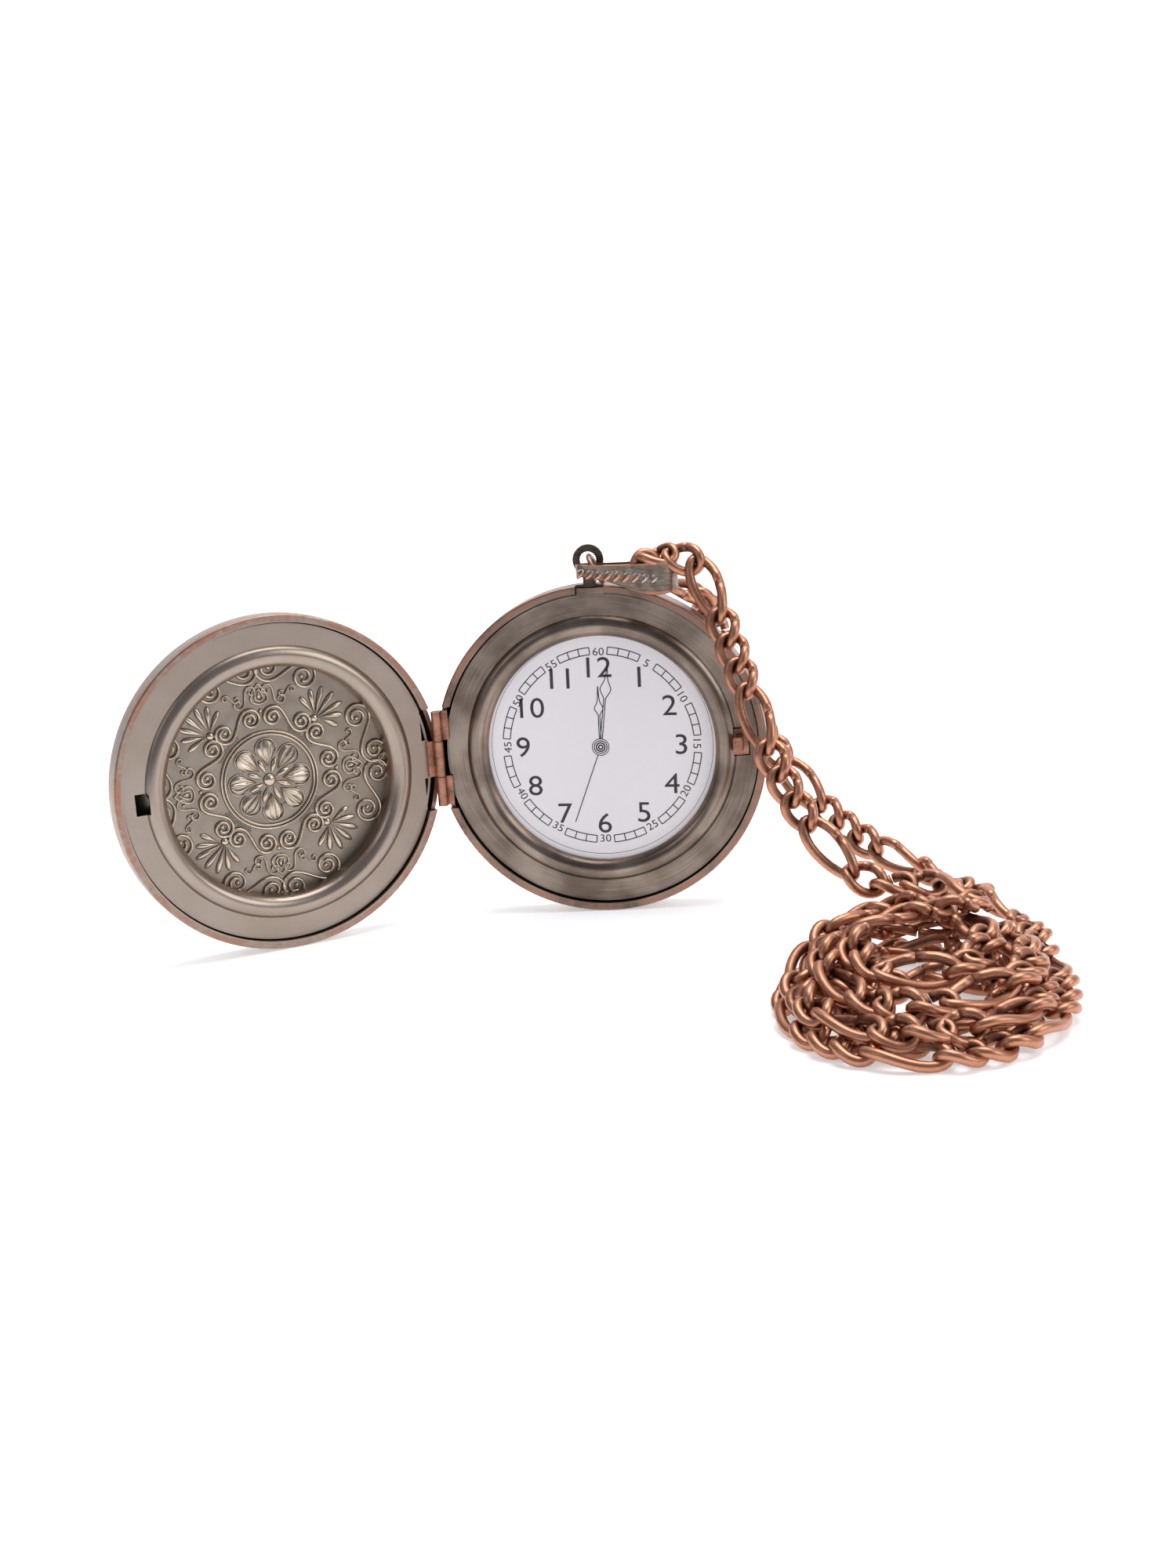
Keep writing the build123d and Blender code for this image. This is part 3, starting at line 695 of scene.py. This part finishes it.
class WATCH_OT_chain(bpy.types.Operator):
    """Neck chain of three small links to one long, down two strands and round its heap"""

    bl_idname = "watch.chain"
    bl_label = "Neck chain"

    def face_up(self, along, total, joints):
        """Which way each link's flat side looks: to the front on the strands, up and outward
        in the heap, and rolled a little one way and the other."""
        middle = CASE_MIDDLE[:2] + HEAP_MIDDLE
        centre = (joints[1:] + joints[:-1]) / 2
        out = np.zeros_like(centre)
        out[:, :2] = unit(centre[:, :2] - middle)
        count = np.arange(len(centre))
        front = np.array((-0.35, -1.0, 0.25))
        local = centre - (CASE_MIDDLE[0], CASE_MIDDLE[1], 24.0)
        radial = unit(local * (1, 0, 1))
        behind = np.clip((local[:, 1:2] - 6.0) / 3.0, 0, 1)
        back = np.where(local[:, 2:] > 12, radial * (1 - behind) + behind * (0.0, 1.0, 0.0), (0.04, 1.0, 0.04))
        in_heap = np.clip((along - 55) / 18, 0, 1) * np.clip((total - 62 - along) / 18, 0, 1)
        late = (along > total / 2)[:, None]
        strand = np.where(late, back, front)
        roll = np.stack((np.sin(1.9 * count), np.cos(2.7 * count), 0.3 * np.sin(1.3 * count)), -1)
        high = np.clip((centre[:, 2:] - 1.6) / 2.0, 0.12, 1)
        heap = np.array((0, 0, 1.0)) + 0.45 * high * out + 0.5 * high * roll
        face = strand * (1 - in_heap[:, None]) + heap * in_heap[:, None] + 0.06 * roll
        face[0] = (0.1, -0.35, 1)
        face[1] = (0.5, -1.0, 0.3)
        return face

    def execute(self, context):
        sizes = context.scene.watch_chain
        wire, width = sizes.wire / MM, sizes.link_width / MM
        line = smooth_line(chain_route())
        joints, along, strides = fit_links(line, sizes.small_hole / MM, sizes.long_hole / MM)
        ahead = unit(joints[1:] - joints[:-1])
        total = np.linalg.norm(np.diff(line, axis=0), axis=1).sum()
        face = self.face_up((along[1:] + along[:-1]) / 2, total, joints)
        face = unit(face - (face * ahead).sum(-1, keepdims=True) * ahead)
        side = np.cross(face, ahead)
        axes = np.stack((ahead, side, face), 1)
        centres = (joints[1:] + joints[:-1]) / 2
        rings, inner_shade = zip(*(link_rings(hole, width * (1.04 if hole > 6 else 1.0), wire, sizes.twist)
                               for hole in strides))
        parts = []
        for ring, turned, centre in zip(rings, axes, centres):
            points = ring @ turned + centre
            points[..., 2] += max(0.0, LOWEST - points[..., 2].min())
            parts.append(tube(points, False))
        finish = chain_copper(context.scene.watch_colours)
        chain = make_piece("neck_chain_links", gather(parts), "case", finish)
        # Painted shade in the links' inner corners, stored as a point attribute for the finish.
        dull = chain.data.attributes.new("inner_shade", "FLOAT", "POINT")
        dull.data.foreach_set("value", np.concatenate([t.ravel() for t in inner_shade]).astype(np.float32))
        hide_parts("chain_front", "chain_back", "chain_pile")

        # one more link stands in the bail and joins the two ends
        upright = unit(joints[0] - joints[-1])
        front = unit(np.array((0, -1.0, 0)) + upright * upright[1])
        ring, dark = link_rings(np.linalg.norm(joints[0] - joints[-1]), width, wire, sizes.twist * 0.6)
        middle = (joints[0] + joints[-1]) / 2
        part = tube(ring @ np.stack((upright, np.cross(front, upright), front)) + middle, False)
        carrier = make_piece("chain_link_in_bail", part, "case", finish)
        # The same painted shade for the link in the bail.
        dull = carrier.data.attributes.new("inner_shade", "FLOAT", "POINT")
        dull.data.foreach_set("value", dark.ravel().astype(np.float32))
        run = np.linalg.norm(joints[1:] - joints[:-1], axis=1).sum()
        tuple(joints[0] * MM)
        (joints * MM).tolist()
        print("chain", round(run, 1), "mm between the bail's two sides,", len(strides), "links")
        return {"FINISHED"}


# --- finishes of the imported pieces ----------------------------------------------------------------
class WATCH_OT_case_finish(bpy.types.Operator):
    """Plated and brushed finishes for the two halves, the hinge, the latch, the eye and the bail"""

    bl_idname = "watch.case_finish"
    bl_label = "Case and fittings finish"

    def execute(self, context):
        colours = context.scene.watch_colours
        dark, light = tuple(colours.metal_dark), tuple(colours.metal_light)
        copper, deep = tuple(colours.copper_tint), tuple(colours.copper_deep)
        pale = tuple(float(c) for c in colours.metal_pale)
        # One plating in two copies: the body's runs from dark to light and the lid's from light to pale, with painted
        # shade on the body half and painted light on the lid.
        body = turned_gunmetal("body_gunmetal", CASE_MIDDLE, CASE_TURN, (dark, light), copper, deep, 0.22)
        lid = turned_gunmetal("lid_gunmetal", LID_MIDDLE, LID_TURN, (light, pale), copper, deep, 0.22)
        rolled = worn_metal("hinge_copper", deep, copper, 0.3)
        finishes = {
            "back_shell": body,
            "body_liner": body,
            "lid_shell": lid,
            "lid_liner": lid,
            "case_knuckle_upper": rolled,
            "case_knuckle_lower": rolled,
            "lid_knuckle": rolled,
            "latch_catch": rolled,
            "hinge_pin": worn_metal("pin_steel", rgb(70, 62, 58), rgb(120, 110, 104), 0.4),
            "latch_guide": worn_metal("guide_bronze", rgb(50, 44, 40), rgb(84, 74, 66), 0.45),
            "pendant_eye": worn_metal("eye_bronze", rgb(62, 54, 48), rgb(112, 99, 88), 0.42),
            "jump_ring": worn_metal("ring_bronze", rgb(92, 78, 70), rgb(196, 158, 140), 0.3),
            "bail": bail_metal("bail_gunmetal", dark, light, copper),
            "dial": dial_paper("dial_print_paper", tuple(colours.paper)),
            "dial_backing": card("backing_card"),
        }
        for node, finish in finishes.items():
            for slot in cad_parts[node].material_slots:
                slot.material = finish
        return {"FINISHED"}


# --- dial print -----------------------------------------------------------------------------------
PRINT_MIDDLE = np.array((0.06, 0.4))
HUB = np.array((-0.15, 0.2))
PRINT_TURN = 1.8
INK_DEPTH = DIAL_DEPTH - 0.006
INK_THICKNESS = 0.012
HOUR_RADIUS = 11.55
MINUTE_RADIUS = 13.82
HOUR_HEIGHT = 2.95
MINUTE_HEIGHT = 1.12
BOX_RADII = (13.45, 14.5)
LINE = 0.15
NUMERAL_BOLD = 0.0
NUMERAL_WIDE = 1.1


def clock_point(degrees, radius, middle=PRINT_MIDDLE):
    """A point at a clock angle (clockwise from the top) and radius round a middle."""
    a = np.radians(np.asarray(degrees, float) + PRINT_TURN)
    return np.asarray(middle) + np.asarray(radius)[..., None] * np.stack((np.sin(a), np.cos(a)), -1)


def ink_line(points, width=LINE, closed=False):
    """A printed line: a thin flat bar swept along points in the dial's plane."""
    path = np.concatenate((points, np.full((len(points), 1), -INK_DEPTH)), 1)
    half, thick = width / 2, INK_THICKNESS / 2
    bar = np.array(((-half, -thick), (half, -thick), (half, thick), (-half, thick)))
    return sweep(path, np.broadcast_to((0.0, 0.0, 1.0), path.shape), bar, closed)


def ink_text(text, height, middle, degrees):
    """Plain numerals as thin solids, centred on a point and turned clockwise."""
    curve = bpy.data.curves.new("numeral", "FONT")
    curve.body = text
    curve.extrude = 0.5
    curve.offset = NUMERAL_BOLD
    curve.resolution_u = 4
    holder = bpy.data.objects.new("numeral", curve)
    mesh = bpy.data.meshes.new_from_object(holder)
    points = np.zeros(len(mesh.vertices) * 3)
    mesh.vertices.foreach_get("co", points)
    points = points.reshape(-1, 3)
    mesh.calc_loop_triangles()
    triangles = np.zeros(len(mesh.loop_triangles) * 3, np.int32)
    mesh.loop_triangles.foreach_get("vertices", triangles)
    bpy.data.objects.remove(holder)
    bpy.data.meshes.remove(mesh)
    bpy.data.curves.remove(curve)
    low, high = points.min(0), points.max(0)
    size = height / (high[1] - low[1])
    flat = (points[:, :2] - (low[:2] + high[:2]) / 2) * (size * NUMERAL_WIDE, size)
    a = -np.radians(degrees)
    flat = flat @ np.array(((np.cos(a), np.sin(a)), (-np.sin(a), np.cos(a)))) + middle
    points = np.concatenate((flat, -INK_DEPTH + points[:, 2:] * INK_THICKNESS), 1)
    return points, [triangles.reshape(-1, 3)]


def hand_outline(degrees, length, leaf_at, leaf_half, stem_half, start):
    """Outline of a printed hand: a narrow stem, a round leaf, and a long fine point."""
    share = np.array((0.0, leaf_at - 0.13, leaf_at - 0.075, leaf_at - 0.03, leaf_at, leaf_at + 0.03,
                      leaf_at + 0.075, leaf_at + 0.13, leaf_at + 0.2, 1.0))
    half = np.array((stem_half, stem_half * 0.8, leaf_half * 0.55, leaf_half * 0.92, leaf_half, leaf_half * 0.92,
                     leaf_half * 0.6, leaf_half * 0.3, leaf_half * 0.16, 0.01))
    fine = np.linspace(0, 1, 60)
    wide = np.interp(fine, share, half)
    up = start + fine * (length - start)
    sides = np.concatenate((np.stack((-wide, up), -1), np.stack((wide, up), -1)[::-1]))
    a = -np.radians(degrees + PRINT_TURN)
    turned = np.array(((np.cos(a), np.sin(a)), (-np.sin(a), np.cos(a))))
    return ink_line(sides @ turned + HUB, LINE * 0.95, True)


class WATCH_OT_dial_print(bpy.types.Operator):
    """Printed numerals, minute boxes, hands and hub rings of the dial, as thin ink"""

    bl_idname = "watch.dial_print"
    bl_label = "Dial print"

    def execute(self, context):
        finish = ink("dial_ink", tuple(context.scene.watch_colours.ink))
        numerals = []
        for hour in range(1, 13):
            numerals.append(ink_text(str(hour), HOUR_HEIGHT, clock_point(hour * 30, np.array(HOUR_RADIUS)),
                                     PRINT_TURN))
            minute = hour * 30
            upright = minute if minute <= 90 or minute >= 270 else minute - 180
            numerals.append(ink_text(str(hour * 5), MINUTE_HEIGHT,
                                     clock_point(minute, np.array(MINUTE_RADIUS)), upright + PRINT_TURN))
        lines = []
        for box in range(12):
            around = np.linspace(-9.7, 9.7, 13) + 15 + 30 * box
            for radius in BOX_RADII:
                lines.append(ink_line(clock_point(around, np.full(13, radius))))
            for bar in (around[0], around[4], around[8], around[-1]):
                lines.append(ink_line(clock_point(np.full(2, bar), np.array(BOX_RADII))))
        ring = np.linspace(0, 360, 120, endpoint=False)
        lines.append(ink_line(clock_point(ring, np.full(120, 16.15)), 0.06, True))
        for radius, width in ((1.22, 0.13), (0.93, 0.16), (0.62, 0.22), (0.3, 0.22)):
            lines.append(ink_line(clock_point(ring[::3], np.full(40, radius), HUB), width, True))
        second = np.linspace(0, 1, 2)
        lines.append(ink_line(clock_point(np.full(2, 200.4), 1.25 + second * 10.6, HUB), LINE))
        lines.append(hand_outline(-0.6, 8.95, 0.58, 0.62, 0.13, 1.25))
        lines.append(hand_outline(6.9, 12.0, 0.68, 0.78, 0.15, 1.25))
        for name, parts in (("dial_numerals", numerals), ("dial_line_print", lines)):
            points, groups = gather(parts)
            points = place(points, CASE_MIDDLE, CASE_TURN)
            make_piece(name, (points, groups), "case", finish, smooth=False)
        return {"FINISHED"}


# --- embossed plate in the lid ----------------------------------------------------------------------
ORNAMENT_MIDDLE = np.array((-0.9, 0.1))
ORNAMENT_TURN = -1.5
PLATE_RADIUS = 20.6
WIRE_PROFILE = np.array(((-1.0, -0.5), (1.0, -0.5), (0.93, 0.35), (0.55, 0.85), (0.0, 1.0), (-0.55, 0.85), (-0.93, 0.35)))


def polar(degrees, radius):
    """Points of the ornament at clock angles and radii."""
    a = np.radians(degrees)
    return np.stack((radius * np.sin(a), radius * np.cos(a)), -1)


def raised(path, half_wide, height, closed=False, scale=1.0):
    """A rounded bead of metal along a path in the plate's plane."""
    path = np.concatenate((path, np.zeros((len(path), 1))), 1)
    profile = WIRE_PROFILE * (half_wide, height)
    return sweep(path, np.broadcast_to((0.0, 0.0, 1.0), path.shape), profile, closed, scale)


def scroll(from_middle, to_middle, hand, turns=1.5, count=120):
    """An S of two spirals round two middles. Its bend rises smoothly from none at the middle of
    the run, then the radius shrinks steadily inward; it is turned and sized to meet the middles."""
    s = np.linspace(0, 1, count // 2)
    joining, inner = 1.9, 0.36
    winding = TAU * turns
    length = joining + winding * (1 + inner) / 2
    run = s * length
    bend = np.where(run < joining, np.sin(np.pi / 2 * np.clip(run / joining, 0, 1)) ** 2,
                    1 / (1 - (1 - inner) * np.clip((run - joining) / (length - joining), 0, 1) ** 1.3))
    heading = np.concatenate(([0], np.cumsum((bend[1:] + bend[:-1]) / 2 * np.diff(run))))
    step = np.stack((np.cos(heading), hand * np.sin(heading)), -1)
    arm = np.concatenate(([(0, 0)], np.cumsum((step[1:] + step[:-1]) / 2 * (run[1] - run[0]), 0)))
    settled = heading > heading[-1] - TAU
    middle = arm[settled].mean(0)
    path = np.concatenate((-arm[:0:-1], arm))
    wanted = np.asarray(to_middle) - np.asarray(from_middle)
    grow = np.hypot(*wanted) / (2 * np.hypot(*middle))
    a = np.arctan2(wanted[1], wanted[0]) - np.arctan2(middle[1], middle[0])
    turned = np.array(((np.cos(a), np.sin(a)), (-np.sin(a), np.cos(a)))) * grow
    return (path + middle) @ turned + from_middle


def mirrored(path):
    """A path on the other side of the ornament's upright axis."""
    return path * (-1, 1)


def teardrop(tip, foot, half_wide, count=28):
    """A closed loop, round at its tip and pointed at its foot: the width is the sine of the
    angle round it times the sine of half that angle."""
    t = np.linspace(0, TAU, count, endpoint=False)
    along, across = (1 - np.cos(t)) / 2, np.sin(t) * np.sin(t / 2) ** 1.2
    tip, foot = np.asarray(tip, float), np.asarray(foot, float)
    run = tip - foot
    side = np.array((-run[1], run[0])) / np.hypot(*run)
    return foot + along[:, None] * run + across[:, None] * half_wide * side


def leaf(tip, foot, half_wide, height, ridges=0, rows=22, columns=13, rounding=1.35):
    """A closed raised leaf from foot to tip: width follows a teardrop, height a half round
    across it, with sine ridges running along it if asked."""
    tip, foot = np.asarray(tip, float), np.asarray(foot, float)
    run = tip - foot
    side = np.array((-run[1], run[0])) / np.hypot(*run)
    t = np.linspace(0.02, 0.985, rows)
    wide = half_wide * np.sin(np.pi * t ** rounding) ** 0.55
    v = np.linspace(-1, 1, columns)
    rise = height * np.sqrt(np.clip(1 - v * v, 0, 1))[None] * (0.45 + 0.55 * np.sin(np.pi * t ** 1.1))[:, None]
    rise = rise + ridges * 0.16 * height * np.cos(3.5 * np.pi * v)[None] * (1 - v * v)[None]
    flat = foot + t[:, None, None] * run + (v[None] * wide[:, None])[..., None] * side
    top = np.concatenate((flat, rise[..., None]), -1)
    under = np.concatenate((flat[:, ::-1], np.full((rows, columns, 1), -0.15)), -1)[:, 1:-1]
    return tube(np.concatenate((top, under), 1), False)


def bead(middle, radius, height=None):
    """A round boss at a point of the plate."""
    points, groups = dome(radius, radius, height or radius * 0.9, 5, 12)
    return points + (*middle, 0.0), groups


def flower():
    """Centre: a boss, eight drops between eight ridged petals, each petal in its own loop,
    inside two rings."""
    parts = [bead((0, 0), 1.0, 0.62)]
    ring = np.linspace(0, 360, 120, endpoint=False)
    for radius in (6.58, 7.08):
        parts.append(raised(polar(ring, np.full(120, radius)), 0.2, 0.44, True))
    for petal in range(8):
        at = 45.0 * petal
        parts.append(leaf(polar(at, 5.9), polar(at, 1.9), 1.5, 0.42, 2.2, 26, 25, 1.9))
        parts.append(leaf(polar(at + 22.5, 3.3), polar(at + 22.5, 1.05), 0.42, 0.46))
        loop = polar(at, 4.55) + polar(at + np.linspace(-118, 118, 26), np.full(26, 1.52))
        parts.append(raised(loop, 0.12, 0.26))
    return parts


def half_quarter():
    """The scrolls between a bud's axis at 0 degrees and a fan's axis at 45 degrees: the ring of running scrolls, the
    curls beside the bud and the scrolls of the edge, with the middles of their spirals.
    Each entry is a path, its half width, its height and whether it closes."""
    inner = (polar(11.4, 9.12), polar(35.6, 9.5))
    edge = (polar(6.8, 16.15), polar(25.3, 15.5))
    runs = [(scroll(*inner, 1), 0.25, 0.56, False), (scroll(*edge, -1), 0.25, 0.56, False),
            (scroll(polar(4.6, 13.2), polar(15.7, 11.75), 1, 0.9), 0.15, 0.4, False),
            (scroll(polar(15.9, 12.6), polar(21.0, 13.5), -1, 0.75), 0.13, 0.36, False)]
    middles = [(*inner, 0.38), (*edge, 0.38), (polar(15.7, 11.75), polar(21.0, 13.5), 0.2)]
    return runs, middles


def ornament():
    """The whole pattern in the plate's plane: four quarters, each its half and its mirror."""
    parts = flower()
    runs, middles = half_quarter()
    fingers = ((16.5, 12.6, 0.44), (12.6, 14.2, 0.46), (7.2, 15.35, 0.46), (0.0, 15.6, 0.46))
    fan_foot = 11.1
    for quarter in range(4):
        a = np.radians(-90.0 * quarter)
        turned = np.array(((np.cos(a), np.sin(a)), (-np.sin(a), np.cos(a))))
        for flip in (np.array((1, 1)), np.array((-1, 1))):
            for path, half_wide, height, closed in runs:
                parts.append(raised(path * flip @ turned, half_wide, height, closed))
            for first, second, radius in middles:
                parts.append(bead(first * flip @ turned, radius))
                parts.append(bead(second * flip @ turned, radius))
            for tick in range(7):
                at = 45 - 1.2 - 2.45 * tick
                for low, lean in ((7.36, 1.1), (7.68, -1.1)):
                    ends = np.stack((polar(at, low), polar(at + lean, low + 0.3)))
                    parts.append(leaf(ends[1] * flip @ turned, ends[0] * flip @ turned, 0.12, 0.16, 0, 6, 5))
            for lean, tip, half_wide in fingers[:3]:
                tip_at = polar(45 - lean, tip)
                foot_at = polar(45 - lean * 0.16, fan_foot + 0.25)
                parts.append(leaf(tip_at * flip @ turned, foot_at * flip @ turned, half_wide, 0.5, 0, 16, 9, 2.2))
        for lean, tip, half_wide in fingers[3:]:
            parts.append(leaf(polar(45, tip) @ turned, polar(45, fan_foot + 0.3) @ turned, half_wide, 0.5, 0, 16, 9, 2.2))
        parts.append(bead(polar(45, fan_foot - 0.25) @ turned, 0.62, 0.4))
        parts.append(bead(polar(0, 10.1) @ turned, 0.34))
        parts.append(raised(teardrop(polar(0, 11.05), polar(0, 14.0), 1.65) @ turned, 0.17, 0.36, True))
        parts.append(raised(teardrop(polar(0, 11.5), polar(0, 13.2), 0.8) @ turned, 0.15, 0.32, True))
        parts.append(leaf(polar(0, 11.75) @ turned, polar(0, 12.9) @ turned, 0.3, 0.3, 0, 10, 7))
        parts.append(raised(polar(np.linspace(-3.4, 3.4, 14), 16.5 + 0.9 * np.linspace(-1, 1, 14) ** 2) @ turned, 0.18, 0.34))
    return gather(parts)


class WATCH_OT_filigree(bpy.types.Operator):
    """Embossed plate: a flower in two rings, running scrolls, fans and buds"""

    bl_idname = "watch.filigree"
    bl_label = "Embossed plate"

    def execute(self, context):
        points, groups = ornament()
        a = -np.radians(ORNAMENT_TURN)
        flat = points[:, :2] @ np.array(((np.cos(a), np.sin(a)), (-np.sin(a), np.cos(a)))) + ORNAMENT_MIDDLE
        pattern = np.concatenate((flat, points[:, 2:] - PLATE_DEPTH), 1), groups
        # the sheet under the pattern: rings of points, slightly cushioned, and a flat back
        ring = np.linspace(0, TAU, 160, endpoint=False)
        radius = np.concatenate((np.linspace(0.02, 16.3, 48), (PLATE_RADIUS, PLATE_RADIUS, 0.02)))
        level = np.concatenate((0.02 * np.sin(radius[:48] * 1.9), (0.0, -0.3, -0.3))) - PLATE_DEPTH
        sheet = np.stack(np.broadcast_arrays(radius[:, None] * np.cos(ring), radius[:, None] * np.sin(ring),
                                             level[:, None]), -1)
        part = gather([pattern, tube(sheet, False)])
        points = place(part[0], LID_MIDDLE, LID_TURN)
        finish = pewter("plate_pewter", LID_MIDDLE, LID_TURN)
        plate = make_piece("filigree_relief", (points, part[1]), "lid", finish)
        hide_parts("filigree_plate")
        return {"FINISHED"}


# --- rope on the bail ---------------------------------------------------------------------------------
ROPE_START = (-0.75, 50.05)
ROPE_END = (11.35, 49.05)
ROPE_LOBES = 10


class WATCH_OT_bail_rope(bpy.types.Operator):
    """Rope of slanted lobes along the front of the bail, with a row of small beads over it"""

    bl_idname = "watch.bail_rope"
    bl_label = "Rope on the bail"

    def lobe(self, middle, long, wide, high, slant, lean):
        """An ellipsoid: its rings shrink by the cosine of the height angle; slant turns it in
        the bail's face and lean follows that face."""
        up = np.linspace(-0.97, 0.97, 11) * np.pi / 2
        ring = np.linspace(0, TAU, 14, endpoint=False)
        x = np.broadcast_to(long * np.sin(up)[:, None], (11, 14))
        y = high * np.cos(up)[:, None] * np.cos(ring)
        z = wide * np.cos(up)[:, None] * np.sin(ring)
        c, s = np.cos(slant), np.sin(slant)
        points = np.stack((x * c - z * s, y, x * s + z * c), -1)
        c, s = np.cos(lean), np.sin(lean)
        points = points @ np.array(((c, s, 0), (-s, c, 0), (0, 0, 1.0)))
        return tube(points + middle, False)

    def execute(self, context):
        parts = []
        lean = float(np.arctan2(-2.47 - 0.86 + 0.0, 10.9))
        for step in range(ROPE_LOBES):
            share = step / (ROPE_LOBES - 1)
            x = ROPE_START[0] + share * (ROPE_END[0] - ROPE_START[0])
            z = ROPE_START[1] + share * (ROPE_END[1] - ROPE_START[1])
            y = CASE_MIDDLE[1] - 0.33 - 1.46 - max(x, 0) * 0.305 + max(0, x - 9.4) ** 2 * 0.2
            middle = np.array((CASE_MIDDLE[0] - 0.2 + x, y, z))
            grow = 0.85 + 0.3 * np.sin(np.pi * min(share * 1.15, 1))
            parts.append(self.lobe(middle + (0.1, 0, -0.32), 0.92 * grow, 0.33 * grow, 0.34, np.radians(40), lean))
            parts.append(self.lobe(middle + (-0.05, 0.02, 0.3), 0.36, 0.2, 0.3, np.radians(25), lean))
            parts.append(self.lobe(middle + (0.5, 0.02, 0.34), 0.3, 0.17, 0.26, np.radians(-35), lean))
        finish = rope_metal("rope_copper", context.scene.watch_colours)
        rope = make_piece("bail_rope_lobes", gather(parts), "bail", finish)
        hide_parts("bail_rope")
        return {"FINISHED"}


class WATCH_PT_panel(bpy.types.Panel):
    """Buttons for the watch's pieces and its settings"""

    bl_idname = "WATCH_PT_panel"
    bl_label = "Pocket watch"
    bl_space_type = "VIEW_3D"
    bl_region_type = "UI"
    bl_category = "Watch"

    def draw(self, context):
        for operator in OPERATORS:
            self.layout.operator(operator.bl_idname)
        for group in ("watch_chain", "watch_colours", "watch_stage"):
            settings = getattr(context.scene, group)
            for name in settings.bl_rna.properties.keys():
                if name not in ("rna_type", "name"):
                    self.layout.prop(settings, name)


SETTINGS = {"watch_chain": ChainSettings, "watch_colours": ColourSettings, "watch_stage": StageSettings}
OPERATORS = (WATCH_OT_stage, WATCH_OT_chain, WATCH_OT_case_finish, WATCH_OT_dial_print, WATCH_OT_filigree,
             WATCH_OT_bail_rope)
CLASSES = (*SETTINGS.values(), *OPERATORS, WATCH_PT_panel)


def register():
    for item in CLASSES:
        bpy.utils.register_class(item)
    for name, group in SETTINGS.items():
        setattr(bpy.types.Scene, name, bpy.props.PointerProperty(type=group))


def unregister():
    for name in SETTINGS:
        delattr(bpy.types.Scene, name)
    for item in reversed(CLASSES):
        bpy.utils.unregister_class(item)


def main():
    """Makes every piece."""
    register()
    for operator in OPERATORS:
        group, name = operator.bl_idname.split(".")
        getattr(getattr(bpy.ops, group), name)()


if __name__ == "__main__":
    main()
